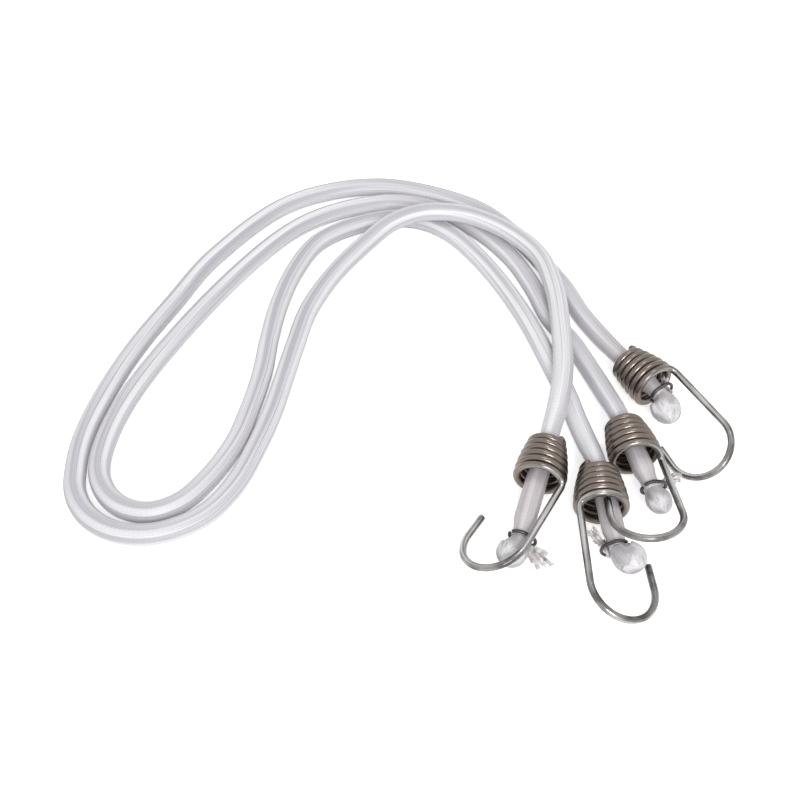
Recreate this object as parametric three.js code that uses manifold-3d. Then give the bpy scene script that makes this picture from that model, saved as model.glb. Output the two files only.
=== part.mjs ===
import * as THREE from "three";
import { mergeVertices } from "three/addons/utils/BufferGeometryUtils.js";
import Module from "manifold-3d";

// A pair of elastic cords with coiled wire hooks, lying in one open loop.
// Lengths are in millimetres, angles in degrees, +Z is up and z = 0 is the ground.

// Place of the pair's middle: the routes below were chosen before it was centred
const shiftX = 3.2;
const shiftY = 1.3;

// Elastic cord
const cordWidth = 8;
const jacketWall = 1.2;
const coreGap = 0.3;
const cordFlat = 0.8;
const jacketSides = 10;
const coreSides = 8;

// Clearance between pieces that touch
const seatGap = 0.3;

// Wire hook: a widening coil, a straight shank and a round bend
const wireWidth = 2.5;
const wireSides = 6;
const coilTurns = 6;
const turnSteps = 16;
const coilPitch = 3;
const coilPlay = 0.35;
const mouthRadius = 8.7;
const elbowReach = 3.5;
const elbowSteps = 4;
const shankLength = 27.3;
const bendRadius = 12.2;
const bendSweep = 185;
const bendSteps = 12;
const pointLength = 8.5;

// Closing ring of thin wire round the cord's end
const ringWire = 1.2;
const ringSteps = 22;
const ringSides = 6;
const ringOpening = 14;

// Neck where the ring squeezes the cord, from behind the ring to the cord's end
const squeezeShare = 0.72;
const coreSqueezeShare = 0.66;
const squeezeBehind = 2.8;
const neckLength = 4.2;
const stubLength = 1.4;

// Folded end of the cord, past the ring
const foldLength = 12.4;
const foldWidth = 10.8;
const foldHeight = 8.6;
const foldSegments = 14;

// Cut strip of the cord's end, held beside the cord by the ring
const tailThickness = 1.5;
const tailRoot = 2.6;
const tailSpread = 6.4;
const tailBehind = 2.2;

// How far the cord runs straight behind each coil
const leadLength = 4.5;

// How far past a coil's narrow end the longest cord end is ringed, and the longest cut strip
const ringReach = 41.2;
const tailLength = 11;

// Middle line of the outer cord, from the narrow end of coil 4 round the far side to that of coil 1
const outerRoute = [
  [86.5, -2.5, 8.2],
  [79.5, 11, 6.6],
  [73.3, 27, 4],
  [67, 45.5],
  [57.5, 63],
  [43, 85.5],
  [27.8, 98.5],
  [9, 106.5],
  [-12, 111],
  [-33, 108.6],
  [-51.5, 99.5],
  [-67.5, 84.5],
  [-83, 63],
  [-97, 34.5],
  [-109.5, 7],
  [-117.5, -18],
  [-121.2, -37],
  [-121.4, -50.5],
  [-119.2, -63],
  [-112.6, -72.9],
  [-102.3, -79],
  [-90, -80.2],
  [-79, -76.8],
  [-70, -70.5],
  [-62, -58.8],
  [-55.9, -42.3],
  [-51.2, -25.5],
  [-47.6, -7],
  [-44.5, 10],
  [-40, 30.5],
  [-30, 50.5, 5],
  [-16.3, 66.4, 8.8],
  [-5, 76.2, 11.8],
  [9, 82.4, 12],
  [26.5, 81, 12],
  [43, 71.5, 12],
  [57, 54.5, 12],
  [61.8, 34, 12],
  [62.3, 11, 12],
  [61.2, -9.5, 12],
  [58.2, -25.5, 11.6],
  [52.2, -44.6, 9.9],
];

// Middle line of the inner cord, from the narrow end of coil 3 round inside the outer cord to that of coil 2
const innerRoute = [
  [81, -35.6, 9.6],
  [77.3, -20, 7.4],
  [73.6, -5, 4.4],
  [67.8, 11.5],
  [60, 26],
  [54.5, 44],
  [47, 61.5],
  [35.5, 77.5],
  [21.3, 90.2],
  [5.8, 97.9],
  [-12, 99],
  [-31, 92.8],
  [-48, 82.3],
  [-62, 65.5],
  [-75.5, 45],
  [-91, 18],
  [-105, -11],
  [-111.5, -32],
  [-112.9, -49],
  [-109, -61.5],
  [-101.3, -68.8],
  [-91, -71],
  [-81, -66.8],
  [-72, -56],
  [-64, -40],
  [-59.8, -23.5],
  [-56.6, -5],
  [-55.2, 14],
  [-52.5, 34.5],
  [-47, 55],
  [-38, 72.5],
  [-22, 83.6],
  [-4, 88.6],
  [9.8, 85.9],
  [21, 77.8],
  [32, 63],
  [42.5, 43.5],
  [51.5, 21.5],
  [58, 0.5],
  [62.8, -15.5],
  [65.2, -29.4, 4.4],
  [67.4, -41.5, 6.2],
  [69.5, -56.5, 8.6],
];

// Each end: the coil's direction, the cord's direction inside it, and how the hook, fold and strip lie
const ends = [
  {
    name: "1",
    hand: 1,
    coilAt: outerRoute.at(-1),
    coilHeading: -104.6,
    coilRise: 0.4,
    cordHeading: -108,
    cordRise: -4,
    roll: -26.6,
    exit: 12.1,
    splay: -14.5,
    lift: -7,
    ringReachShare: 1,
    foldTurn: -12,
    foldDrop: 5,
    foldLengthShare: 0.85,
    foldWidthShare: 1,
    tailSide: -12,
    tailOpen: 42,
    tailLengthShare: 0.7,
    tailBack: false,
  },
  {
    name: "2",
    hand: -1,
    coilAt: innerRoute.at(-1),
    coilHeading: -93.5,
    coilRise: 5,
    cordHeading: -85.5,
    cordRise: 2.4,
    roll: -20.3,
    exit: 26.8,
    splay: -6.7,
    lift: 5,
    ringReachShare: 0.808,
    foldTurn: 44,
    foldDrop: 8,
    foldLengthShare: 0.78,
    foldWidthShare: 1.08,
    tailSide: 200,
    tailOpen: 40,
    tailLengthShare: 0.82,
    tailBack: true,
  },
  {
    name: "3",
    hand: 1,
    coilAt: innerRoute[0],
    coilHeading: -82,
    coilRise: 5,
    cordHeading: -76.8,
    cordRise: -1.6,
    roll: -1,
    exit: 15.9,
    splay: -5.5,
    lift: -12.1,
    ringReachShare: 0.709,
    foldTurn: 8,
    foldDrop: 4,
    foldLengthShare: 0.75,
    foldWidthShare: 0.84,
    tailSide: -38,
    tailOpen: 22,
    tailRoomShare: 0.588718,
    tailBack: true,
  },
  {
    name: "4",
    hand: 1,
    coilAt: outerRoute[0],
    coilHeading: -57.1,
    coilRise: 5.9,
    cordHeading: -60,
    cordRise: 3.2,
    roll: -39.8,
    exit: 18.7,
    splay: -6.8,
    lift: -1.8,
    ringReachShare: 0.516,
    foldTurn: -18,
    foldDrop: 14,
    foldLengthShare: 0.92,
    foldWidthShare: 1.07,
    tailSide: 12,
    tailOpen: 16,
    tailLengthShare: 0.3,
    tailBack: true,
  },
];

const wasm = await Module();
wasm.setup();

const radians = THREE.MathUtils.degToRad;
const cordRadius = cordWidth / 2;
const boreRadius = cordRadius - jacketWall;
const coreRadius = boreRadius - coreGap;
const neckRadius = cordRadius * squeezeShare;
const lowHeight = cordRadius - cordFlat;
const smallRadius = cordRadius + coilPlay + wireWidth / 2;
const coilLength = coilTurns * coilPitch;

const cordJacket = new THREE.MeshStandardMaterial({ color: 0xd9d6dc, roughness: 0.55, metalness: 0 });
const cordRubber = new THREE.MeshStandardMaterial({ color: 0xb9a27a, roughness: 0.8, metalness: 0 });
const hookSteel = new THREE.MeshStandardMaterial({ color: 0x8a8379, roughness: 0.35, metalness: 1 });
const ringSteel = new THREE.MeshStandardMaterial({ color: 0x5d5850, roughness: 0.5, metalness: 1 });
const foldFabric = new THREE.MeshStandardMaterial({ color: 0xd3d1d3, roughness: 0.6, metalness: 0 });
const tailFabric = new THREE.MeshStandardMaterial({ color: 0xcfc6c9, roughness: 0.8, metalness: 0 });

// Unit vector for a heading in the ground plane and a rise above it
function direction(heading, rise) {
  const flat = Math.cos(radians(rise));
  return new THREE.Vector3(
    Math.cos(radians(heading)) * flat,
    Math.sin(radians(heading)) * flat,
    Math.sin(radians(rise)),
  );
}

// A group whose +X runs along a heading and rise, turned by a roll about it
function frameAt(position, heading, rise, roll) {
  const frame = new THREE.Group();
  frame.position.copy(position);
  frame.rotation.set(radians(roll), radians(-rise), radians(heading), "ZYX");
  return frame;
}

// Adds a named mesh to a group
function addPiece(parent, name, geometry, material) {
  const mesh = new THREE.Mesh(geometry, material);
  mesh.name = name;
  parent.add(mesh);
  return mesh;
}

// A curve that steps from one chosen point to the next
class PointPath extends THREE.Curve {
  constructor(points) {
    super();
    this.points = points;
  }

  index(share) {
    return Math.round(share * (this.points.length - 1));
  }

  getPoint(share) {
    return this.points[this.index(share)].clone();
  }

  getPointAt(share) {
    return this.getPoint(share);
  }

  getTangent(share) {
    const last = this.points.length - 1;
    const here = this.index(share);
    const before = this.points[Math.max(here - 1, 0)];
    const middle = this.points[here];
    const after = this.points[Math.min(here + 1, last)];
    const into = middle.clone().sub(before).normalize();
    const out = after.clone().sub(middle).normalize();
    return into.add(out).normalize();
  }

  getTangentAt(share) {
    return this.getTangent(share);
  }
}

// Even polygon with a flat side at the start of its turn
function polygon(radius, sides) {
  const corners = [];
  for (let i = 0; i < sides; i += 1) {
    const angle = ((i + 1 / 2) / sides) * 2 * Math.PI;
    corners.push(new THREE.Vector2(radius * Math.cos(angle), radius * Math.sin(angle)));
  }
  return corners;
}

// Sweeps a section along a list of points, one step for each
function sweep(section, points) {
  return new THREE.ExtrudeGeometry(section, {
    steps: points.length - 1,
    extrudePath: new PointPath(points),
    bevelEnabled: false,
  });
}

// Geometry to solid, and back
function toSolid(geometry) {
  const bare = geometry.clone();
  bare.deleteAttribute("normal");
  bare.deleteAttribute("uv");
  const merged = mergeVertices(bare);
  return new wasm.Manifold(
    new wasm.Mesh({
      numProp: 3,
      vertProperties: merged.attributes.position.array,
      triVerts: new Uint32Array(merged.index.array),
    }),
  );
}

function toGeometry(solid) {
  const mesh = solid.getMesh();
  const geometry = new THREE.BufferGeometry();
  geometry.setAttribute("position", new THREE.BufferAttribute(mesh.vertProperties, 3));
  geometry.setIndex(new THREE.BufferAttribute(mesh.triVerts, 1));
  geometry.computeVertexNormals();
  return geometry;
}

// Cuts away what lies below the ground
function cutFlat(geometry) {
  geometry.computeBoundingBox();
  const size = geometry.boundingBox.getSize(new THREE.Vector3());
  const middle = geometry.boundingBox.getCenter(new THREE.Vector3());
  const block = new THREE.BoxGeometry(size.x + cordWidth, size.y + cordWidth, cordWidth);
  block.translate(middle.x, middle.y, -cordWidth / 2);
  return toGeometry(toSolid(geometry).subtract(toSolid(block)));
}

// Round tube through a list of points, closed at both ends
function tube(points, width, sides) {
  const radius = width / 2;
  const positions = [];
  const faces = [];
  let side = new THREE.Vector3(0, 0, 1);
  points.forEach((point, i) => {
    const before = points[Math.max(i - 1, 0)];
    const after = points[Math.min(i + 1, points.length - 1)];
    const along = after.clone().sub(before).normalize();
    if (i === 0 && Math.abs(along.z) > 1 / 2) {
      side = new THREE.Vector3(1, 0, 0);
    }
    side.addScaledVector(along, -side.dot(along)).normalize();
    const up = along.clone().cross(side);
    for (let j = 0; j < sides; j += 1) {
      const angle = (j / sides) * 2 * Math.PI;
      const corner = point.clone();
      corner.addScaledVector(side, radius * Math.cos(angle));
      corner.addScaledVector(up, radius * Math.sin(angle));
      positions.push(corner.x, corner.y, corner.z);
    }
  });
  for (let i = 0; i < points.length - 1; i += 1) {
    for (let j = 0; j < sides; j += 1) {
      const a = i * sides + j;
      const b = i * sides + ((j + 1) % sides);
      faces.push(a, b, b + sides);
      faces.push(a, b + sides, a + sides);
    }
  }
  const last = (points.length - 1) * sides;
  for (let j = 1; j < sides - 1; j += 1) {
    faces.push(0, j + 1, j);
    faces.push(last, last + j, last + j + 1);
  }
  const geometry = new THREE.BufferGeometry();
  geometry.setAttribute("position", new THREE.Float32BufferAttribute(positions, 3));
  geometry.setIndex(faces);
  geometry.computeVertexNormals();
  return geometry;
}

// Centre line of a wire hook, its mouth at the origin and +X outward along the coil
function wirePoints(end) {
  const points = [];
  const exit = radians(end.exit);
  for (let i = 0; i <= coilTurns * turnSteps; i += 1) {
    const turn = i / turnSteps;
    const grown = Math.sin((Math.PI / 2) * (turn / coilTurns));
    const radius = smallRadius + (mouthRadius - smallRadius) * grown;
    const angle = exit + (coilTurns - turn) * 2 * Math.PI;
    const x = (turn - coilTurns) * coilPitch;
    points.push(new THREE.Vector3(x, radius * Math.cos(angle), radius * Math.sin(angle)));
  }
  const mouth = points[points.length - 1];
  const leaving = new THREE.Vector3(
    coilPitch,
    2 * Math.PI * mouthRadius * Math.sin(exit),
    -2 * Math.PI * mouthRadius * Math.cos(exit),
  ).normalize();
  const shank = direction(end.splay, -end.lift);
  const corner = mouth.clone().addScaledVector(leaving, elbowReach);
  const shankStart = corner.clone().addScaledVector(shank, elbowReach);
  const elbow = new THREE.QuadraticBezierCurve3(mouth, corner, shankStart);
  elbow.getPoints(elbowSteps).slice(1).forEach((point) => points.push(point));
  const bendStart = shankStart.clone().addScaledVector(shank, shankLength);
  const inward = new THREE.Vector3(0, -1, 0);
  inward.addScaledVector(shank, -inward.dot(shank)).normalize();
  const centre = bendStart.clone().addScaledVector(inward, bendRadius);
  for (let i = 0; i <= bendSteps; i += 1) {
    const angle = radians(bendSweep) * (i / bendSteps);
    const point = centre.clone();
    point.addScaledVector(inward, -bendRadius * Math.cos(angle));
    point.addScaledVector(shank, bendRadius * Math.sin(angle));
    points.push(point);
  }
  const returning = inward.clone().multiplyScalar(Math.sin(radians(bendSweep)));
  returning.addScaledVector(shank, Math.cos(radians(bendSweep)));
  const bendEnd = points[points.length - 1];
  points.push(bendEnd.clone().addScaledVector(returning, pointLength));
  points.forEach((point) => {
    point.y *= end.hand;
  });
  return points;
}

// Least gap between the windings of a wire, measured between points of its centre line
function leastGap(points) {
  let least = Infinity;
  const far = turnSteps / 2;
  for (let i = 0; i < points.length; i += 1) {
    for (let j = i + far; j < points.length; j += 1) {
      least = Math.min(least, points[i].distanceTo(points[j]) - wireWidth);
    }
  }
  return least;
}

// Centre line of the closing ring: round the cord on one side, round the strip on the other
function ringPoints() {
  const across = neckRadius + seatGap + ringWire / 2;
  const beside = tailThickness + 2 * seatGap;
  const points = [];
  for (let i = 0; i <= ringSteps; i += 1) {
    const angle = radians(180 + ringOpening + (360 - 2 * ringOpening) * (i / ringSteps));
    const shift = Math.cos(angle) > 0 ? beside : 0;
    const y = across * Math.cos(angle) + shift;
    points.push(new THREE.Vector3(0, y, across * Math.sin(angle)));
  }
  return points;
}

// Flat strip that turns away from the cord past the ring and widens to its cut end
function tailGeometry(open, length) {
  const away = new THREE.Vector2(Math.cos(radians(open)), Math.sin(radians(open)));
  const side = new THREE.Vector2(-away.y, away.x).multiplyScalar(tailThickness);
  const turn = new THREE.Vector2(tailBehind, 0);
  const tip = away.clone().multiplyScalar(length).add(turn);
  const profile = new THREE.Shape([
    new THREE.Vector2(-tailBehind, 0),
    turn,
    tip,
    tip.clone().add(side),
    new THREE.Vector2(tailBehind, tailThickness),
    new THREE.Vector2(-tailBehind, tailThickness),
  ]);
  const strip = new THREE.ExtrudeGeometry(profile, { depth: tailRoot, bevelEnabled: false });
  strip.translate(0, 0, -tailRoot / 2);
  const places = strip.getAttribute("position");
  for (let i = 0; i < places.count; i += 1) {
    const share = places.getX(i) > tailBehind + tailThickness ? tailSpread / tailRoot : 1;
    places.setZ(i, places.getZ(i) * share);
  }
  return strip;
}

// Every end with its directions worked out
const placed = ends.map((end) => {
  const coilAt = new THREE.Vector3(...end.coilAt);
  const coilAxis = direction(end.coilHeading, end.coilRise);
  const cordAxis = direction(end.cordHeading, end.cordRise);
  const ringedAt = ringReach * end.ringReachShare;
  const squeezedAt = ringedAt - squeezeBehind;
  const room = ringedAt - coilLength;
  return {
    ...end,
    coilAt,
    cordAxis,
    tailLong: end.tailRoomShare ? room * end.tailRoomShare : tailLength * end.tailLengthShare,
    mouthAt: coilAt.clone().addScaledVector(coilAxis, coilLength),
    leadAt: coilAt.clone().addScaledVector(cordAxis, -leadLength),
    neckAt: coilAt.clone().addScaledVector(cordAxis, squeezedAt - neckLength),
    squeezeAt: coilAt.clone().addScaledVector(cordAxis, squeezedAt),
    ringAt: coilAt.clone().addScaledVector(cordAxis, ringedAt),
    cordEnd: coilAt.clone().addScaledVector(cordAxis, ringedAt + stubLength),
  };
});

// The full list of centre points of one cord, with its straight ends
function cordPoints(from, route, to) {
  const middle = route.slice(1, -1).map(([x, y, z]) => new THREE.Vector3(x, y, z ?? lowHeight));
  const first = [from.cordEnd, from.squeezeAt, from.neckAt, from.leadAt];
  const last = [to.leadAt, to.neckAt, to.squeezeAt, to.cordEnd];
  return [...first, ...middle, ...last];
}

// Tube or rod along the cord, squeezed towards its middle line in both necks
function squeezedSweep(section, points, share) {
  const geometry = sweep(section, points);
  const places = geometry.getAttribute("position");
  const corner = new THREE.Vector3();
  for (let i = 0; i < places.count; i += 1) {
    corner.fromBufferAttribute(places, i);
    const distances = points.map((point) => point.distanceTo(corner));
    const nearest = distances.indexOf(Math.min(...distances));
    if (nearest < 2 || nearest > points.length - 3) {
      corner.lerpVectors(points[nearest], corner, share);
      places.setXYZ(i, corner.x, corner.y, corner.z);
    }
  }
  return geometry;
}

// Outer sleeve and rubber core of one cord
function addCord(parent, label, points) {
  const section = new THREE.Shape(polygon(cordRadius, jacketSides));
  section.holes.push(new THREE.Path(polygon(boreRadius, jacketSides)));
  const jacket = squeezedSweep(section, points, squeezeShare);
  addPiece(parent, "jacket_" + label, cutFlat(jacket), cordJacket);
  const rod = new THREE.Shape(polygon(coreRadius, coreSides));
  const core = squeezedSweep(rod, points, coreSqueezeShare);
  addPiece(parent, "core_" + label, core, cordRubber);
  let length = 0;
  for (let i = 1; i < points.length; i += 1) {
    length += points[i].distanceTo(points[i - 1]);
  }
  console.log(label + " cord, along its middle: " + length.toFixed(0) + " mm");
}

// Wire hook, closing ring, folded end and cut strip of one end
function addEnd(parent, end) {
  const coil = frameAt(end.mouthAt, end.coilHeading, end.coilRise, -end.roll * end.hand);
  const wire = wirePoints(end);
  addPiece(coil, "wire_hook_" + end.name, tube(wire, wireWidth, wireSides), hookSteel);
  console.log("hook " + end.name + ", least gap of the wire to itself: " + leastGap(wire).toFixed(2) + " mm");
  parent.add(coil);

  const ring = frameAt(end.ringAt, end.cordHeading, end.cordRise, end.tailSide);
  addPiece(ring, "hog_ring_" + end.name, tube(ringPoints(), ringWire, ringSides), ringSteel);
  const strip = tailGeometry(end.tailOpen, end.tailLong);
  const tail = addPiece(ring, "cord_tail_" + end.name, strip, tailFabric);
  tail.position.set(0, neckRadius + seatGap, 0);
  tail.rotation.y = end.tailBack ? Math.PI : 0;
  parent.add(ring);

  const long = foldLength * end.foldLengthShare;
  const wide = foldWidth * end.foldWidthShare;
  const half = new THREE.Vector3(long / 2, wide / 2, foldHeight / 2);
  const heading = end.cordHeading + end.foldTurn;
  const rise = end.cordRise - end.foldDrop;
  const fold = frameAt(end.cordEnd, heading, rise, 0);
  const sphere = new THREE.SphereGeometry(1, foldSegments, foldSegments / 2);
  const ball = addPiece(fold, "cord_fold_" + end.name, sphere, foldFabric);
  ball.scale.copy(half);
  parent.add(fold);
  const local = end.cordAxis.clone().applyQuaternion(fold.quaternion.clone().invert());
  const reach = local.multiply(half).length();
  fold.position.addScaledVector(end.cordAxis, reach + seatGap);
}

const group = new THREE.Group();
group.name = "elastic_cord_pair";
group.position.set(shiftX, shiftY, 0);

const outer = new THREE.Group();
addCord(outer, "outer", cordPoints(placed[3], outerRoute, placed[0]));
addEnd(outer, placed[0]);
addEnd(outer, placed[3]);
group.add(outer);

const inner = new THREE.Group();
addCord(inner, "inner", cordPoints(placed[2], innerRoute, placed[1]));
addEnd(inner, placed[1]);
addEnd(inner, placed[2]);
group.add(inner);

export default group;
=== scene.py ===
import math
import random
import bmesh
import bpy
from mathutils import Euler, Matrix, Vector


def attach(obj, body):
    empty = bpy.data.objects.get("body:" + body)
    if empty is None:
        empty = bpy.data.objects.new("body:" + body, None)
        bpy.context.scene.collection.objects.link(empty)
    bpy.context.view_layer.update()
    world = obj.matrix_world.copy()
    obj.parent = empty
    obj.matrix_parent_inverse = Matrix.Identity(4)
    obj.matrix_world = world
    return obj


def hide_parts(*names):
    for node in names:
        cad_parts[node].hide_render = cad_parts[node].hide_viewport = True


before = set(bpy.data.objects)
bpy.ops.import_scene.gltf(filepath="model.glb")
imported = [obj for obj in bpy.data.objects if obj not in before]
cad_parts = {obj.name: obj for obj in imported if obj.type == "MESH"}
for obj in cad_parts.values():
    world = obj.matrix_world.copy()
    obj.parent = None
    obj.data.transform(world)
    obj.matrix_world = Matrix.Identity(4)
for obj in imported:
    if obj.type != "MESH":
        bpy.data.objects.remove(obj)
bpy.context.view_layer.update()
print("frame loaded:", len(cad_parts), "nodes")

mm = 0.001

# Camera first: it looks down at the pair from the side of the hooks
cameraSettings = {
    "place": (0.0012, -0.2832, 0.320),
    "tilt": 40.0,  # degrees away from straight down
    "lens": 47.97,
    "sensor": 36.0,
}
cameraData = bpy.data.cameras.new("photoCamera")
cameraData.lens = cameraSettings["lens"]
cameraData.sensor_width = cameraSettings["sensor"]
cameraData.clip_start = 0.01
camera = bpy.data.objects.new("photoCamera", cameraData)
camera.location = cameraSettings["place"]
camera.rotation_euler = (math.radians(cameraSettings["tilt"]), 0, 0)
bpy.context.scene.collection.objects.link(camera)
bpy.context.scene.camera = camera
bpy.context.scene.view_settings.view_transform = "Standard"


def linearColour(code):  # sRGB hex to the linear colour that a shader takes
    values = [int(code[i:i + 2], 16) / 255 for i in (1, 3, 5)]
    return [v / 12.92 if v < 0.04045 else ((v + 0.055) / 1.055) ** 2.4 for v in values] + [1]


def addNode(tree, kind, inputs=None, **settings):  # a socket is linked, anything else is set
    node = tree.nodes.new(kind)
    for name, value in settings.items():
        setattr(node, name, value)
    for name, value in (inputs or {}).items():
        socket = node.inputs[name]
        if isinstance(value, bpy.types.NodeSocket):
            tree.links.new(value, socket)
        else:
            socket.default_value = value
    return node


def emptyMaterial(name):
    material = bpy.data.materials.new(name)
    material.use_nodes = True
    material.node_tree.nodes.clear()
    return material, material.node_tree


def worked(tree, operation, *values):
    return addNode(tree, "ShaderNodeMath", dict(enumerate(values)), operation=operation).outputs[0]


def ranged(tree, value, source, target=(0.0, 1.0)):
    inputs = {0: value, 1: source[0], 2: source[1], 3: target[0], 4: target[1]}
    return addNode(tree, "ShaderNodeMapRange", inputs).outputs[0]


def mixed(tree, share, below, above):  # a colour is a socket or sRGB hex
    below, above = (linearColour(c) if isinstance(c, str) else c for c in (below, above))
    return addNode(tree, "ShaderNodeMix", {0: share, 6: below, 7: above}, data_type="RGBA").outputs[2]


def noise(tree, place, scale, detail, roughness=0.5):
    inputs = {"Vector": place, "Scale": scale, "Detail": detail, "Roughness": roughness}
    return addNode(tree, "ShaderNodeTexNoise", inputs).outputs[0]


def stretchedNoise(tree, place, stretch, detail, roughness=0.5):
    spread = addNode(tree, "ShaderNodeMapping", {"Vector": place, "Scale": stretch})
    return noise(tree, spread.outputs[0], 1.0, detail, roughness)


def finishSurface(tree, height, strength, distance, shading):
    inputs = {"Strength": strength, "Distance": distance, "Height": height}
    raised = addNode(tree, "ShaderNodeBump", inputs)
    shader = addNode(tree, "ShaderNodeBsdfPrincipled", {"Normal": raised.outputs[0], **shading})
    addNode(tree, "ShaderNodeOutputMaterial", {0: shader.outputs[0]})


# Braided polyester: glossy filaments in fine crossing bundles, with painted shade in the grooves
# between them, long pale and grey bands of painted sheen and shade, and thin dark lines of painted
# shade where the slack sleeve gathers along the cord
braidSettings = {
    "cord": {
        "yarns": 30,  # bundles each way round the cord
        "lay": 3.2 * mm,  # length in which a bundle moves one place round
        "sheenAndShadeBands": (9, 6, 1),  # bands round the cord, and along a metre of it
        "lines": (42, 9, 1),
        "pale": "#f4f3f5",
        "shade": "#c2c0c7",
        "line": "#9f9ca4",
        "end": "#bdb2b3",  # darker, pinker tint over the cord inside and past the coils
        "depth": 0.16,
        "roughness": 0.42,
        "bump": 0.12,
        "through": 0.0,
    },
    "fold": {
        "yarns": 22,
        "lay": 2.6 * mm,
        "sheenAndShadeBands": (6, 130, 1),
        "lines": (30, 260, 1),
        "pale": "#efeeef",
        "shade": "#bfbcc0",
        "line": "#8e8b90",
        # painted shade: the fold's end tint darkens it near the ring, where it is pinched
        "end": "#a29da0",
        "depth": 0.14,
        "roughness": 0.5,
        "bump": 0.1,
        "through": 0.15,
    },
}
braidLook = {
    "bandRange": (0.36, 0.6),
    "bandRoughness": 0.45,
    "gatherShadeRange": (0.53, 0.72),
    "gatherShadeShare": 0.65,
    "tintFade": 0.6,
    "tintShare": 0.5,
    "grooveShadeRange": (-0.6, 0.5),
    "bumpDepth": 0.15 * mm,
    "index": 1.53,
    "throughDepth": 1.5 * mm,
}


def braidedPolyester(name, settings, length, tinted):
    look = braidLook
    material, tree = emptyMaterial(name)
    place = addNode(tree, "ShaderNodeTexCoord").outputs["UV"]
    parts = addNode(tree, "ShaderNodeSeparateXYZ", {0: place}).outputs
    turns = worked(tree, "MULTIPLY", parts[0], settings["yarns"] * 2 * math.pi)
    lays = worked(tree, "MULTIPLY", parts[1], 2 * math.pi / settings["lay"])
    left = worked(tree, "SINE", worked(tree, "ADD", turns, lays))
    right = worked(tree, "SINE", worked(tree, "SUBTRACT", turns, lays))
    braid = worked(tree, "MAXIMUM", left, right)
    # painted sheen and shade: long pale and grey bands laid at random along the cord
    sheenAndShadeBands = stretchedNoise(tree, place, settings["sheenAndShadeBands"], 3.0, look["bandRoughness"])
    body = mixed(tree, ranged(tree, sheenAndShadeBands, look["bandRange"]), settings["shade"], settings["pale"])
    # painted shade: thin dark lines where the slack sleeve gathers
    gatherShadeNoise = stretchedNoise(tree, place, settings["lines"], 2.0)
    gatherShadeShare = ranged(tree, gatherShadeNoise, look["gatherShadeRange"], (0.0, look["gatherShadeShare"]))
    gatherShaded = mixed(tree, gatherShadeShare, body, settings["line"])
    # darker, pinker tint over the last stretch at each end of the sleeve
    fromMiddle = worked(tree, "ABSOLUTE", worked(tree, "SUBTRACT", parts[1], length / 2))
    tintRange = (length / 2 - tinted, length / 2 - tinted * look["tintFade"])
    tint = ranged(tree, fromMiddle, tintRange, (0.0, look["tintShare"]))
    toned = mixed(tree, tint, gatherShaded, settings["end"])
    # painted shade: the colour darkens towards the line colour in the low parts of the braid, as shade
    # between the bundles
    groove = ranged(tree, braid, look["grooveShadeRange"], (settings["depth"], 0.0))
    colour = mixed(tree, groove, toned, settings["line"])
    height = worked(tree, "ADD", braid, gatherShadeNoise)
    finishSurface(tree, height, settings["bump"], look["bumpDepth"], {
        "Base Color": colour, "Roughness": settings["roughness"], "IOR": look["index"],
        "Subsurface Weight": settings["through"], "Subsurface Radius": (1, 1, 1),
        "Subsurface Scale": look["throughDepth"]})
    return material


# Drawn steel wire: fine die marks, painted highlights as bright streaks along the wire, tarnish in
# patches, browner all through the coil
wireSettings = {
    "hook": {
        "bright": "#93918f",
        "tarnish": "#5a5857",
        "paintedHighlight": "#e0dedc",
        "coil": "#80766f",
        "coilEnd": 262 * mm,
        "roughness": 0.26,
        "bump": 0.12,
    },
    "ring": {
        "bright": "#5c595d",
        "tarnish": "#413e41",
        "paintedHighlight": "#7a777b",
        "coil": "#4f4b4e",
        "coilEnd": 0.0,
        "roughness": 0.4,
        "bump": 0.2,
    },
}
wireLook = {
    "marks": (40, 120, 1),  # round the wire, and along a metre of it
    "highlightStreaks": (4, 18, 1),
    "highlightRange": (0.5, 0.62),
    "highlightShare": 0.72,
    "patches": 170.0,
    "patchRange": (0.38, 0.66),
    "coilFade": 22 * mm,
    "markRange": (0.3, 0.7),
    "smoother": 0.06,
    "rougher": 0.12,
    "bumpDepth": 0.05 * mm,
}


def drawnWire(name, settings):
    look = wireLook
    material, tree = emptyMaterial(name)
    place = addNode(tree, "ShaderNodeTexCoord").outputs["UV"]
    spot = addNode(tree, "ShaderNodeTexCoord").outputs["Object"]
    along = addNode(tree, "ShaderNodeSeparateXYZ", {0: place}).outputs[1]
    patches = ranged(tree, noise(tree, spot, look["patches"], 4.0), look["patchRange"])
    plain = mixed(tree, patches, settings["bright"], settings["tarnish"])
    # painted highlight: bright streaks mixed into the colour stand in for lamp highlights along the
    # wire
    highlightStreaks = stretchedNoise(tree, place, look["highlightStreaks"], 2.0)
    highlightShare = ranged(tree, highlightStreaks, look["highlightRange"], (0.0, look["highlightShare"]))
    highlighted = mixed(tree, highlightShare, plain, settings["paintedHighlight"])
    pastCoil = ranged(tree, along, (settings["coilEnd"], settings["coilEnd"] + look["coilFade"]))
    colour = mixed(tree, pastCoil, settings["coil"], highlighted)
    marks = stretchedNoise(tree, place, look["marks"], 3.0)
    roughRange = (settings["roughness"] - look["smoother"], settings["roughness"] + look["rougher"])
    rough = ranged(tree, marks, look["markRange"], roughRange)
    finishSurface(tree, marks, settings["bump"], look["bumpDepth"], {
        "Base Color": colour, "Metallic": 1.0, "Roughness": rough})
    return material


# Loose polyester yarn at the cut ends: soft and matt, greyer and pinker than the sleeve
yarnSettings = {
    "pale": "#efebeb",
    "dark": "#a69b9d",
    "roughness": 0.75,
    "patches": 330.0,
    "patchRange": (0.36, 0.6),
    "fibres": 2600.0,
    "bump": 0.3,
    "bumpDepth": 0.1 * mm,
}


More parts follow.
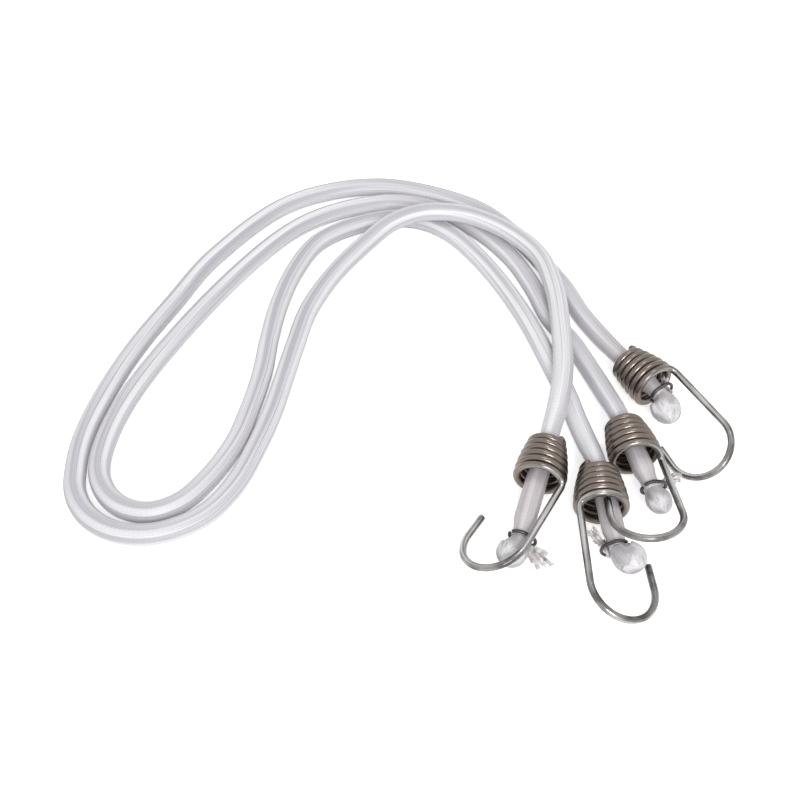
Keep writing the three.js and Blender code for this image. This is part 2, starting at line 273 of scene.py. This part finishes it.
def looseYarn(name, settings):
    material, tree = emptyMaterial(name)
    spot = addNode(tree, "ShaderNodeTexCoord").outputs["Object"]
    patches = ranged(tree, noise(tree, spot, settings["patches"], 2.0), settings["patchRange"])
    colour = mixed(tree, patches, settings["dark"], settings["pale"])
    fibres = noise(tree, spot, settings["fibres"], 1.0)
    finishSurface(tree, fibres, settings["bump"], settings["bumpDepth"], {
        "Base Color": colour, "Roughness": settings["roughness"]})
    return material


# Natural latex strand inside the sleeve: matt, tan, dusted with talc
latexSettings = {
    "tan": "#b59a6c",
    "dust": "#cdbd9c",
    "roughness": 0.8,
    "specks": 600.0,
    "bump": 0.2,
    "bumpDepth": 0.1 * mm,
}


def latexRubber(name, settings):
    material, tree = emptyMaterial(name)
    spot = addNode(tree, "ShaderNodeTexCoord").outputs["Object"]
    specks = noise(tree, spot, settings["specks"], 4.0)
    colour = mixed(tree, specks, settings["tan"], settings["dust"])
    finishSurface(tree, specks, settings["bump"], settings["bumpDepth"], {
        "Base Color": colour, "Roughness": settings["roughness"]})
    return material


# Lengths of the sleeves as drawn, and how far in from each end the tint reaches
sleeves = {
    "outer": braidedPolyester("outerPolyesterSleeve", braidSettings["cord"], 0.851, 46 * mm),
    "inner": braidedPolyester("innerPolyesterSleeve", braidSettings["cord"], 0.8385, 34 * mm),
}
# painted shade darkens the fold over about 6 mm from the ring
foldSleeve = braidedPolyester("foldedPolyesterSleeve", braidSettings["fold"], 20 * mm, 6 * mm)
hookSteel = drawnWire("drawnSteelWire", wireSettings["hook"])
ringSteel = drawnWire("dullSteelRingWire", wireSettings["ring"])
yarnCloth = looseYarn("loosePolyesterYarn", yarnSettings)
latex = latexRubber("naturalLatexRubber", latexSettings)
print("materials made")


lineParts = 24  # straight parts between two given points, before the line is cut evenly


def evenLine(points, step):  # a smooth line through the points, with even steps
    ends = [points[0] * 2 - points[1]] + points + [points[-1] * 2 - points[-2]]
    fine = []
    for p0, p1, p2, p3 in zip(ends, ends[1:], ends[2:], ends[3:]):
        t1 = (p1 - p0).length ** 0.5
        t2 = t1 + (p2 - p1).length ** 0.5
        t3 = t2 + (p3 - p2).length ** 0.5
        for k in range(lineParts):
            t = t1 + (t2 - t1) * k / lineParts
            a1 = p0.lerp(p1, t / t1)
            a2 = p1.lerp(p2, (t - t1) / (t2 - t1))
            a3 = p2.lerp(p3, (t - t2) / (t3 - t2))
            b1 = a1.lerp(a2, t / t2)
            b2 = a2.lerp(a3, (t - t1) / (t3 - t1))
            fine.append(b1.lerp(b2, (t - t1) / (t2 - t1)))
    fine.append(points[-1].copy())
    lengths = [0.0]
    for a, b in zip(fine, fine[1:]):
        lengths.append(lengths[-1] + (b - a).length)
    count = max(2, round(lengths[-1] / step))
    line, k = [], 0
    for i in range(count + 1):
        goal = lengths[-1] * i / count
        while k < len(fine) - 2 and lengths[k + 1] < goal:
            k += 1
        line.append(fine[k].lerp(fine[k + 1], (goal - lengths[k]) / (lengths[k + 1] - lengths[k])))
    return line


# A closed tube along a line, with half widths given point by point
def addTube(bm, points, sizes, sides, side):
    around = bm.verts.layers.int.get("around") or bm.verts.layers.int.new("around")
    along = bm.verts.layers.float.get("along") or bm.verts.layers.float.new("along")
    uv = bm.loops.layers.uv.get("UVMap") or bm.loops.layers.uv.new("UVMap")
    made = bmesh.ops.create_circle(bm, segments=sides, radius=1, cap_ends=True)["verts"]
    for number, vert in enumerate(made):
        vert[around] = number
    faces = set(made[0].link_faces)
    edges = list(dict.fromkeys(edge for vert in made for edge in vert.link_edges))
    before = Matrix.Identity(4)
    distance = 0.0
    for i, point in enumerate(points):
        if i:
            distance += (point - points[i - 1]).length
            new = bmesh.ops.extrude_edge_only(bm, edges=edges)["geom"]
            made = [part for part in new if isinstance(part, bmesh.types.BMVert)]
            edges = [part for part in new if isinstance(part, bmesh.types.BMEdge)]
            faces.update(part for part in new if isinstance(part, bmesh.types.BMFace))
            edges = [edge for edge in edges if all(vert in made for vert in edge.verts)]
        way = (points[min(i + 1, len(points) - 1)] - points[max(i - 1, 0)]).normalized()
        side = (side - way * side.dot(way)).normalized()
        wide, high = sizes[i]
        here = Matrix((side * wide, way.cross(side) * high, way * mm)).transposed().to_4x4()
        here.translation = point
        bmesh.ops.transform(bm, matrix=here @ before.inverted(), verts=made)
        before = here
        for vert in made:
            vert[along] = distance
    faces.update(bmesh.ops.contextual_create(bm, geom=edges)["faces"])
    for face in faces:
        face.smooth = len(face.verts) == 4
        numbers = [vert[around] for vert in face.verts]
        wraps = max(numbers) - min(numbers) > sides / 2
        for loop in face.loops:
            number = loop.vert[around]
            if wraps and number == 0:
                number = sides
            loop[uv].uv = (number / sides, loop.vert[along])


def finishPiece(bm, name, material, body, slot, *nodes):
    bmesh.ops.recalc_face_normals(bm, faces=bm.faces)
    mesh = bpy.data.meshes.new(name)
    bm.to_mesh(mesh)
    bm.free()
    mesh.materials.append(material)
    piece = bpy.data.objects.new(name, mesh)
    bpy.context.scene.collection.objects.link(piece)
    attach(piece, body)
    if nodes:
        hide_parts(*nodes)
    return piece

# Elastic cords: where their middle lines run, from the first end to the last, in metres
cordSettings = {
    "width": 8 * mm,
    "step": 1.3 * mm,
    "sides": 28,
    "unevenness": 0.012,
    "waves": (0.21, 0.057),
    "neck": 0.78,
    "squeezed": 4.2 * mm,
    "neckLength": 5 * mm,
    "grip": 0.11,  # the coils hold the cord a little thinner
    "gripReach": 12 * mm,
    "grips": {"outer": (22.7 * mm, 42.6 * mm), "inner": (30.6 * mm, 34.7 * mm)},
}
routes = {
    "outer": [
        (0.1010, -0.0208, 0.0095), (0.0874, 0.0027, 0.0080), (0.0827, 0.0123, 0.0066),
        (0.0765, 0.0283, 0.0040), (0.0702, 0.0468, 0.0032), (0.0462, 0.0868, 0.0032),
        (0.0310, 0.0998, 0.0032), (-0.0088, 0.1123, 0.0032), (-0.0483, 0.1008, 0.0032),
        (-0.0798, 0.0643, 0.0032), (-0.0938, 0.0358, 0.0032), (-0.1063, 0.0083, 0.0032),
        (-0.1143, -0.0167, 0.0032), (-0.1180, -0.0357, 0.0032), (-0.1182, -0.0492, 0.0032),
        (-0.1160, -0.0617, 0.0032), (-0.1094, -0.0716, 0.0032), (-0.0991, -0.0777, 0.0032),
        (-0.0868, -0.0789, 0.0032), (-0.0758, -0.0755, 0.0032), (-0.0668, -0.0692, 0.0032),
        (-0.0588, -0.0575, 0.0032), (-0.0527, -0.0410, 0.0032), (-0.0480, -0.0242, 0.0032),
        (-0.0444, -0.0057, 0.0032), (-0.0413, 0.0113, 0.0032), (-0.0368, 0.0318, 0.0032),
        (-0.0268, 0.0518, 0.0050), (-0.0131, 0.0677, 0.0088), (-0.0018, 0.0775, 0.0118),
        (0.0122, 0.0837, 0.0120), (0.0297, 0.0823, 0.0120), (0.0462, 0.0728, 0.0120),
        (0.0602, 0.0558, 0.0120), (0.0650, 0.0353, 0.0120), (0.0655, 0.0123, 0.0120),
        (0.0644, -0.0082, 0.0120), (0.0614, -0.0242, 0.0116), (0.0568, -0.0390, 0.0102),
        (0.0423, -0.0837, 0.0069),
    ],
    "inner": [
        (0.0912, -0.0641, 0.0088), (0.0832, -0.0299, 0.0097), (0.0805, -0.0187, 0.0074),
        (0.0768, -0.0037, 0.0044), (0.0710, 0.0128, 0.0032), (0.0632, 0.0273, 0.0032),
        (0.0577, 0.0453, 0.0032), (0.0502, 0.0628, 0.0032), (0.0387, 0.0788, 0.0032),
        (0.0245, 0.0915, 0.0032), (0.0090, 0.0992, 0.0032), (-0.0088, 0.1003, 0.0032),
        (-0.0448, 0.0836, 0.0032), (-0.1018, -0.0097, 0.0032), (-0.1097, -0.0477, 0.0032),
        (-0.1058, -0.0602, 0.0032), (-0.0981, -0.0675, 0.0032), (-0.0878, -0.0697, 0.0032),
        (-0.0778, -0.0655, 0.0032), (-0.0688, -0.0547, 0.0032), (-0.0608, -0.0387, 0.0032),
        (-0.0566, -0.0222, 0.0032), (-0.0534, -0.0037, 0.0032), (-0.0520, 0.0153, 0.0032),
        (-0.0493, 0.0358, 0.0032), (-0.0438, 0.0563, 0.0032), (-0.0348, 0.0738, 0.0032),
        (-0.0188, 0.0849, 0.0032), (-0.0008, 0.0899, 0.0032), (0.0130, 0.0872, 0.0032),
        (0.0242, 0.0791, 0.0032), (0.0352, 0.0643, 0.0032), (0.0457, 0.0448, 0.0032),
        (0.0547, 0.0228, 0.0032), (0.0612, 0.0018, 0.0032), (0.0660, -0.0142, 0.0032),
        (0.0684, -0.0281, 0.0044), (0.0706, -0.0402, 0.0062), (0.0724, -0.0507, 0.0084),
        (0.0754, -0.0898, 0.0100),
    ],
}
groundGap = 0.05 * mm  # the soft parts lie flat this far above the ground


def smooth(share):
    return share * share * (3 - 2 * share)


def makeCord(label, s):
    line = evenLine([Vector(point) for point in routes[label]], s["step"])
    radius = s["width"] / 2
    sizes = []
    for i in range(len(line)):
        fromEnd = min(i, len(line) - 1 - i) * s["step"]
        grip = s["grips"][label][0 if i < len(line) / 2 else 1]
        held = 1 - s["grip"] * math.exp(-((fromEnd - grip) / s["gripReach"]) ** 2)
        share = min(1, max(0, (fromEnd - s["squeezed"]) / s["neckLength"]))
        here = radius * held * (s["neck"] + (1 - s["neck"]) * smooth(share))
        first, second = s["waves"]
        swell = 1 + s["unevenness"] * math.sin(i * first) * math.sin(i * second + 1)
        sizes.append((here * swell, here / swell))
    bm = bmesh.new()
    addTube(bm, line, sizes, s["sides"], Vector((0, 0, -1)))
    for vert in bm.verts:
        vert.co.z = max(vert.co.z, groundGap)
    cord = finishPiece(bm, "cord_" + label, sleeves[label], "cords", "woven_sleeve", "jacket_" + label)
    return cord, line


for label in routes:
    makeCord(label, cordSettings)
    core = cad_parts["core_" + label].data
    core.materials.clear()
    core.materials.append(latex)
print("cords made")


# Ends: where each coil's narrow end is and how its hook and the cord's folded and cut ends lie
ends = {
    1: {
        "hand": 1, "coil": (55.4, -43.3, 9.9), "heading": -104.6, "rise": 0.4,
        "cordHeading": -108, "cordRise": -4,
        "roll": -26.6, "exit": 12.1, "splay": -14.5, "lift": -7, "ring": 41.2,
        "foldTurn": -12, "foldDrop": 5, "foldLength": 0.85, "foldWidth": 1,
        "tailSide": -30, "tailOpen": 60, "tailLength": 8.2, "tailBack": False,
        "fan": 60, "clumps": 11,
        "mouth": 8.45, "body": "end_1", "hookBody": "hook_1",
    },
    2: {
        "hand": -1, "coil": (72.7, -55.2, 8.6), "heading": -93.5, "rise": 5,
        "cordHeading": -85.5, "cordRise": 2.4,
        "roll": -20.3, "exit": 26.8, "splay": -6.7, "lift": 5, "ring": 33.3,
        "foldTurn": 44, "foldDrop": 8, "foldLength": 0.78, "foldWidth": 1.08,
        "tailSide": 212, "tailOpen": 28, "tailLength": 6.6, "tailBack": True,
        "fan": 54, "clumps": 12,
        "mouth": 8.6, "body": "end_2", "hookBody": "hook_2",
    },
    3: {
        "hand": 1, "coil": (84.2, -34.3, 9.6), "heading": -82, "rise": 5,
        "cordHeading": -76.8, "cordRise": -1.6,
        "roll": -1, "exit": 15.9, "splay": -5.5, "lift": -12.1, "ring": 29.2,
        "foldTurn": 8, "foldDrop": 4, "foldLength": 0.75, "foldWidth": 0.84,
        "tailSide": -28, "tailOpen": 72, "tailLength": 8.6, "tailBack": True,
        "fan": 38, "clumps": 9,
        "mouth": 8.45, "body": "cords", "hookBody": "hook_3",
    },
    4: {
        "hand": 1, "coil": (89.7, -1.2, 8.2), "heading": -57.1, "rise": 5.9,
        "cordHeading": -60, "cordRise": 3.2,
        "roll": -39.8, "exit": 18.7, "splay": -6.8, "lift": -1.8, "ring": 21.3,
        "foldTurn": -18, "foldDrop": 14, "foldLength": 0.92, "foldWidth": 1.07,
        "tailSide": 8, "tailOpen": 44, "tailLength": 3.9, "tailBack": True,
        "fan": 58, "clumps": 6,
        "mouth": 8.45, "body": "end_4", "hookBody": "hook_4",
    },
}


def wayOf(heading, rise):
    heading, rise = math.radians(heading), math.radians(rise)
    across = math.cos(rise)
    return Vector((math.cos(heading) * across, math.sin(heading) * across, math.sin(rise)))


# +X runs along the heading and rise, and the roll turns the rest about it
def placeAt(point, heading, rise, roll):
    angles = [math.radians(angle) for angle in (roll, -rise, heading)]
    turned = Euler(angles).to_matrix().to_4x4()
    turned.translation = point
    return turned


# Wire hooks: a coil that widens like a bell, a straight shank and an open bend
hookSettings = {
    "wire": 2.6 * mm,
    "coilWire": 2.76 * mm,  # a little over, so that the turns look close wound
    "turns": 6,
    "turnSteps": 44,
    "pitch": 3 * mm,
    "smallRadius": 5.55 * mm,
    "elbow": 3.5 * mm,
    "elbowSteps": 8,
    "shank": 27.3 * mm,
    "shankSteps": 10,
    "bendRadius": 12.2 * mm,
    "bendSweep": 185,
    "bendSteps": 40,
    "point": 8.5 * mm,
    "pointSteps": 5,
    "sides": 16,
    "steep": 0.7,  # a wire that starts steeper than this is built from another side
}


def hookLine(end, s):
    turnEnd = math.radians(end["exit"])
    line = []
    mouthRadius = end["mouth"] * mm
    count = s["turns"] * s["turnSteps"]
    for i in range(count + 1):
        turn = i / s["turnSteps"]
        radius = s["smallRadius"] + (mouthRadius - s["smallRadius"]) * math.sin(math.pi / 2 * i / count)
        angle = turnEnd + (s["turns"] - turn) * 2 * math.pi
        back = (turn - s["turns"]) * s["pitch"]
        line.append(Vector((back, radius * math.cos(angle), radius * math.sin(angle))))
    mouth = line[-1]
    run = 2 * math.pi * mouthRadius
    leaving = Vector((s["pitch"], run * math.sin(turnEnd), -run * math.cos(turnEnd))).normalized()
    shank = wayOf(end["splay"], -end["lift"])
    corner = mouth + leaving * s["elbow"]
    shankStart = corner + shank * s["elbow"]
    for i in range(1, s["elbowSteps"] + 1):  # the elbow from the last turn into the shank
        t = i / s["elbowSteps"]
        line.append(mouth * (1 - t) ** 2 + corner * (2 * t * (1 - t)) + shankStart * t ** 2)
    for i in range(1, s["shankSteps"] + 1):
        line.append(shankStart + shank * (s["shank"] * i / s["shankSteps"]))
    inward = Vector((0, -1, 0))
    inward = (inward - shank * inward.dot(shank)).normalized()
    centre = line[-1] + inward * s["bendRadius"]
    sweep = math.radians(s["bendSweep"])
    for i in range(1, s["bendSteps"] + 1):
        angle = sweep * i / s["bendSteps"]
        behind = inward * (s["bendRadius"] * math.cos(angle))
        line.append(centre - behind + shank * (s["bendRadius"] * math.sin(angle)))
    pointWay = inward * math.sin(sweep) + shank * math.cos(sweep)
    start = line[-1]
    for i in range(1, s["pointSteps"] + 1):
        line.append(start + pointWay * (s["point"] * i / s["pointSteps"]))
    for point in line:
        point.y *= end["hand"]
    return line


filedEnd = {"reaches": (0.35, 0.25), "widths": (0.6, 0.86)}  # in shares of the wire's radius, tip first


def roundedWire(line, wire):  # the cut ends of the wire are filed round
    radius = wire / 2
    tip, base = filedEnd["reaches"]
    first = (line[0] - line[1]).normalized()
    last = (line[-1] - line[-2]).normalized()
    line = [line[0] + first * (radius * tip), line[0] + first * (radius * base)] + line
    line += [line[-1] + last * (radius * base), line[-1] + last * (radius * tip)]
    filed = [(radius * share,) * 2 for share in filedEnd["widths"]]
    return line, filed + [(radius, radius)] * (len(line) - 4) + filed[::-1]


def makeHook(number, end, s):
    mouthWay = wayOf(end["heading"], end["rise"])
    mouth = Vector(end["coil"]) * mm + mouthWay * (s["turns"] * s["pitch"])
    place = placeAt(mouth, end["heading"], end["rise"], -end["roll"] * end["hand"])
    line, sizes = roundedWire([place @ point for point in hookLine(end, s)], s["wire"])
    for i in range(len(sizes)):
        share = min(1, max(0, (s["turns"] * s["turnSteps"] - i) / s["turnSteps"]))
        swell = 1 + (s["coilWire"] / s["wire"] - 1) * share
        sizes[i] = (sizes[i][0] * swell, sizes[i][1] * swell)
    level = abs((line[1] - line[0]).normalized().z) < s["steep"]
    side = Vector((0, 0, 1)) if level else Vector((1, 0, 0))
    bm = bmesh.new()
    addTube(bm, line, sizes, s["sides"], side)
    name, node = "hook_wire_%d" % number, "wire_hook_%d" % number
    return finishPiece(bm, name, hookSteel, end["hookBody"], "hook_wire", node)


# Closing rings: round the cord on one side and round its cut end on the other
ringSettings = {
    "wire": 1.2 * mm,
    "opening": 14,
    "steps": 64,
    "sides": 12,
    "neck": 2.88 * mm,
    "gap": 0.3 * mm,
    "strip": 1.5 * mm,
}


def ringPlace(end):
    cordWay = wayOf(end["cordHeading"], end["cordRise"])
    middle = Vector(end["coil"]) * mm + cordWay * (end["ring"] * mm)
    return placeAt(middle, end["cordHeading"], end["cordRise"], end["tailSide"])


def makeRing(number, end, s):
    across = s["neck"] + s["gap"] + s["wire"] / 2
    beside = s["strip"] + 2 * s["gap"]
    place = ringPlace(end)
    line = []
    for i in range(s["steps"] + 1):
        angle = math.radians(180 + s["opening"] + (360 - 2 * s["opening"]) * i / s["steps"])
        shift = beside if math.cos(angle) > 0 else 0
        line.append(place @ Vector((0, across * math.cos(angle) + shift, across * math.sin(angle))))
    line, sizes = roundedWire(line, s["wire"])
    bm = bmesh.new()
    addTube(bm, line, sizes, s["sides"], place.to_3x3() @ Vector((1, 0, 0)))
    name, node = "ring_%d" % number, "hog_ring_%d" % number
    return finishPiece(bm, name, ringSteel, end["body"], "ring_wire", node)


# Folded ends: the cord turned back on itself past the ring, pinched there and round at its tip
foldSettings = {
    "stub": 0.7 * mm,
    "extra": 0.9 * mm,
    "length": 12.4 * mm,
    "width": 10.8 * mm,
    "height": 8.6 * mm,
    "neck": 3.1 * mm,
    "thinnest": 0.1 * mm,
    "fullAt": 0.42,  # share of the length at which it is at its widest
    "turnRate": 2.2,  # how soon it comes into its own heading
    "steps": 40,
    "easing": 1.6,  # the steps lie closer towards the tip
    "sides": 44,
    "crease": 0.16,
    "creaseWidth": 0.24,
    "creaseTwist": 1.1,
    "creaseFrom": 0.15,  # shares of the length
    "creaseTo": 0.93,
    "pleats": 0.03,
    "pleatCount": 13,
    "pleatSway": 2.0,
    "pleatWaves": 5,
    "pleatFrom": 0.1,
}


def makeFold(number, end, s):
    place = ringPlace(end)
    ringWay = place.to_3x3() @ Vector((1, 0, 0))
    foldWay = wayOf(end["cordHeading"] + end["foldTurn"], end["cordRise"] - end["foldDrop"])
    start = place.translation + ringWay * s["stub"]
    length = s["length"] * end["foldLength"] + s["extra"]
    line, sizes = [], []
    for i in range(s["steps"] + 1):
        share = 1 - (1 - i / s["steps"]) ** s["easing"] if i < s["steps"] else 1
        way = ringWay.lerp(foldWay, min(1, share * s["turnRate"]))
        line.append(start + way * (length * share))
        swell = math.sqrt(max(0.0, 1 - ((share - 0.5) / 0.5) ** 2)) if share > 0.5 else 1
        widen = smooth(min(1, share / s["fullAt"]))
        wide = s["neck"] + (s["width"] * end["foldWidth"] / 2 - s["neck"]) * widen
        high = s["neck"] + (s["height"] / 2 - s["neck"]) * widen
        sizes.append((max(wide * swell, s["thinnest"]), max(high * swell, s["thinnest"])))
    bm = bmesh.new()
    addTube(bm, line, sizes, s["sides"], Vector((0, 0, 1)).cross(foldWay))
    along = bm.verts.layers.float["along"]
    around = bm.verts.layers.int["around"]
    total = max(vert[along] for vert in bm.verts)
    # A groove between the two halves of the fold, and pleats that run to the ring
    for vert in bm.verts:
        share = vert[along] / total
        angle = 2 * math.pi * vert[around] / s["sides"]
        middle = start + foldWay * (length * share)
        groove = math.exp(-(math.cos(angle + s["creaseTwist"] * share) / s["creaseWidth"]) ** 2)
        fade = min(1, share / s["creaseFrom"]) * max(0.0, 1 - (share / s["creaseTo"]) ** 4)
        sway = s["pleatSway"] * math.sin(share * s["pleatWaves"])
        pleat = math.sin(angle * s["pleatCount"] + sway) * (1 - share) * min(1, share / s["pleatFrom"])
        vert.co = middle.lerp(vert.co, 1 - s["crease"] * groove * fade - s["pleats"] * pleat)
        vert.co.z = max(vert.co.z, groundGap)
    name, node = "fold_%d" % number, "cord_fold_%d" % number
    return finishPiece(bm, name, foldSleeve, end["body"], "folded_end", node)


# Cut ends: a flattened strip of sleeve held by the ring, opening into clumps of loose yarns
tailSettings = {
    "thick": 1.5 * mm,
    "root": 2.6 * mm,
    "behind": 2.2 * mm,
    "beside": 3.18 * mm,
    "pastShare": 0.7,  # straight part past the ring, as a share of the part behind it
    "stripStep": 0.4 * mm,
    "stripThinner": 0.3,
    "stripWider": 0.15,
    "stripSides": 20,
    "stripReach": (0.12, 0.25),
    "opensAt": 0.06,
    "rootSpread": 0.8 * mm,
    "jitter": 0.1,
    "lean": 0.25,
    "reach": (0.8, 1.08),
    "curl": 0.2,
    "parts": 8,
    "flat": (0.95 * mm, 0.45 * mm),  # half width and half height of a clump
    "flatWidths": (0.75, 0.4),  # share of the width at the root, and what is added at the tip
    "flatThinner": 0.35,
    "flatSides": 10,
    "clump": 0.75 * mm,
    "clumpHeight": 0.6,
    "clumpSpread": (0.6, 0.7),
    "round": 6.3,  # about a full turn, in radians
    "yarns": 9,
    "yarnWidth": 0.55 * mm,
    "yarnHeight": 0.8,
    "yarnSizes": (0.7, 1.3),
    "yarnReach": (0.9, 1.16),
    "yarnSides": 5,
    "stray": 0.07,
    "taper": 0.4,
    "clear": 0.9 * mm,  # lowest middle line of a clump or a yarn
    "seed": 5,
}


def overGround(point, clear):
    return Vector((point.x, point.y, max(point.z, clear)))


def makeTail(number, end, s):
    place = ringPlace(end) @ Matrix.Translation((0, s["beside"], 0))
    if end["tailBack"]:
        place = place @ Matrix.Rotation(math.pi, 4, "Y")
    turned = place.to_3x3()
    length = end["tailLength"] * mm
    opening = math.radians(end["tailOpen"])
    away = Vector((math.cos(opening), math.sin(opening), 0))
    half = s["thick"] / 2
    past = s["behind"] * s["pastShare"]
    local = [Vector((-s["behind"], half, 0)), Vector((0, half, 0)), Vector((past, half, 0))]
    local += [local[2] + away * (length * share) for share in s["stripReach"]]
    line = evenLine([place @ point for point in local], s["stripStep"])
    sizes = []
    for i in range(len(line)):
        share = i / (len(line) - 1)
        thin = half * (1 - s["stripThinner"] * share)
        sizes.append((thin, s["root"] / 2 * (1 + s["stripWider"] * share)))
    bm = bmesh.new()
    addTube(bm, line, sizes, s["stripSides"], turned @ Vector((0, 1, 0)))
    chance = random.Random(s["seed"] + number)
    root = place @ (local[2] + away * (length * s["opensAt"]))
    out = (turned @ away).normalized()
    level = (turned @ Vector((0, 0, 1))).normalized()
    up = out.cross(level).normalized()
    shares = [k / s["parts"] for k in range(s["parts"] + 1)]
    wide, high = s["flat"]
    atRoot, added = s["flatWidths"]
    flat = [(wide * (atRoot + added * t), high * (1 - s["flatThinner"] * t)) for t in shares]

    def anyWay():
        return level * chance.uniform(-1, 1) + up * chance.uniform(-1, 1)

    for clump in range(end["clumps"]):
        fan = 2 * (clump + 0.5) / end["clumps"] - 1 + chance.uniform(-s["jitter"], s["jitter"])
        turn = math.radians(end["fan"]) * fan
        way = out * math.cos(turn) + level * math.sin(turn) + up * chance.uniform(-s["lean"], s["lean"])
        reach = length * chance.uniform(*s["reach"])
        curl = anyWay() * (s["curl"] * reach)
        begin = root + level * (fan * s["rootSpread"])
        strip = [overGround(begin + way * (reach * t) + curl * t ** 2, s["clear"]) for t in shares]
        addTube(bm, strip, flat, s["flatSides"], level)
        for yarn in range(s["yarns"]):
            angle = chance.uniform(0, s["round"])
            across = level * math.cos(angle) + up * math.sin(angle) * s["clumpHeight"]
            offset = across * (s["clump"] * math.sqrt(chance.random()))
            own = reach * chance.uniform(*s["yarnReach"])
            bend = curl + anyWay() * (s["stray"] * reach)
            near, far = s["clumpSpread"]
            path = []
            for t in shares:
                point = begin + way * (own * t) + offset * (near + far * t) + bend * (t * t)
                path.append(overGround(point, s["clear"]))
            width = s["yarnWidth"] / 2 * chance.uniform(*s["yarnSizes"])
            thinning = [1 - s["taper"] * t for t in shares]
            taper = [(width * here, width * s["yarnHeight"] * here) for here in thinning]
            addTube(bm, path, taper, s["yarnSides"], up)
    name, node = "tail_%d" % number, "cord_tail_%d" % number
    return finishPiece(bm, name, yarnCloth, end["body"], "frayed_end", node)


for number, end in ends.items():
    makeHook(number, end, hookSettings)
    makeRing(number, end, ringSettings)
    makeFold(number, end, foldSettings)
    makeTail(number, end, tailSettings)
    print("end", number, "made")

# Floor: white to the camera and in the metal, with a pale grey sheet's bounce on the rest
stageSettings = {
    "floor": 3.0,
    "floorDrop": 0.1 * mm,
    "sheet": "#cfcfd0",
    "paper": "#f4f4f4",
    "glow": 0.6,
    "low": 0.46,  # sky at the horizon and overhead
    "high": 0.8,
    "highFrom": 0.85,
    "front": 1.3,  # sky in front of the pair and behind it
    "behind": 0.55,
    "sideReach": 0.7,
}
white = (1, 1, 1, 1)
bm = bmesh.new()
bmesh.ops.create_grid(bm, x_segments=1, y_segments=1, size=stageSettings["floor"])
bmesh.ops.translate(bm, verts=bm.verts, vec=(0, 0, -stageSettings["floorDrop"]))
floorMesh = bpy.data.meshes.new("floor")
bm.to_mesh(floorMesh)
bm.free()
floor = bpy.data.objects.new("floor", floorMesh)
bpy.context.scene.collection.objects.link(floor)
floorMaterial, tree = emptyMaterial("whitePaperSweep")
floorMesh.materials.append(floorMaterial)
sheet = addNode(tree, "ShaderNodeBsdfDiffuse", {"Color": linearColour(stageSettings["sheet"])})
paper = addNode(tree, "ShaderNodeBsdfDiffuse", {"Color": linearColour(stageSettings["paper"])})
glow = addNode(tree, "ShaderNodeEmission", {"Color": white, "Strength": stageSettings["glow"]})
lit = addNode(tree, "ShaderNodeAddShader", {0: paper.outputs[0], 1: glow.outputs[0]})
rays = addNode(tree, "ShaderNodeLightPath").outputs
seen = worked(tree, "MAXIMUM", rays["Is Camera Ray"], rays["Is Glossy Ray"])
chosen = addNode(tree, "ShaderNodeMixShader", {0: seen, 1: sheet.outputs[0], 2: lit.outputs[0]})
addNode(tree, "ShaderNodeOutputMaterial", {0: chosen.outputs[0]})

# World: a soft sky, dim at the horizon and behind, brighter overhead and in front,
# and white where it is seen
world = bpy.data.worlds.new("studio")
bpy.context.scene.world = world
world.use_nodes = True
tree = world.node_tree
tree.nodes.clear()
rays = addNode(tree, "ShaderNodeLightPath").outputs
straight = worked(tree, "MAXIMUM", rays["Is Camera Ray"], rays["Is Transmission Ray"])
seen = worked(tree, "MAXIMUM", straight, rays["Is Glossy Ray"])
skyWay = addNode(tree, "ShaderNodeTexCoord").outputs["Generated"]
skyParts = addNode(tree, "ShaderNodeSeparateXYZ", {0: skyWay}).outputs
climbRange = (0.0, stageSettings["highFrom"])
climb = ranged(tree, skyParts[2], climbRange, (stageSettings["low"], stageSettings["high"]))
sideRange = (-stageSettings["sideReach"], stageSettings["sideReach"])
side = ranged(tree, skyParts[1], sideRange, (stageSettings["front"], stageSettings["behind"]))
skyGlow = worked(tree, "MULTIPLY", climb, side)
soft = addNode(tree, "ShaderNodeBackground", {"Color": white, "Strength": skyGlow})
bright = addNode(tree, "ShaderNodeBackground", {"Color": white, "Strength": 1.0})
chosen = addNode(tree, "ShaderNodeMixShader", {0: seen, 1: soft.outputs[0], 2: bright.outputs[0]})
addNode(tree, "ShaderNodeOutputWorld", {0: chosen.outputs[0]})

lampTarget = Vector((0.02, 0, 0))
lampSettings = {
    "frontLamp": {"place": (0.1, -0.85, 0.7), "size": 0.32, "power": 4.3},
    "topLamp": {"place": (0.15, 0.1, 0.9), "size": 0.2, "power": 0.9},
}
for name, settings in lampSettings.items():
    data = bpy.data.lights.new(name, "AREA")
    data.shape = "DISK"
    data.size = settings["size"]
    data.energy = settings["power"]
    lamp = bpy.data.objects.new(name, data)
    lamp.location = settings["place"]
    lampWay = lampTarget - Vector(settings["place"])
    lamp.rotation_euler = lampWay.to_track_quat("-Z", "Y").to_euler()
    bpy.context.scene.collection.objects.link(lamp)
print("stage and lamps made")
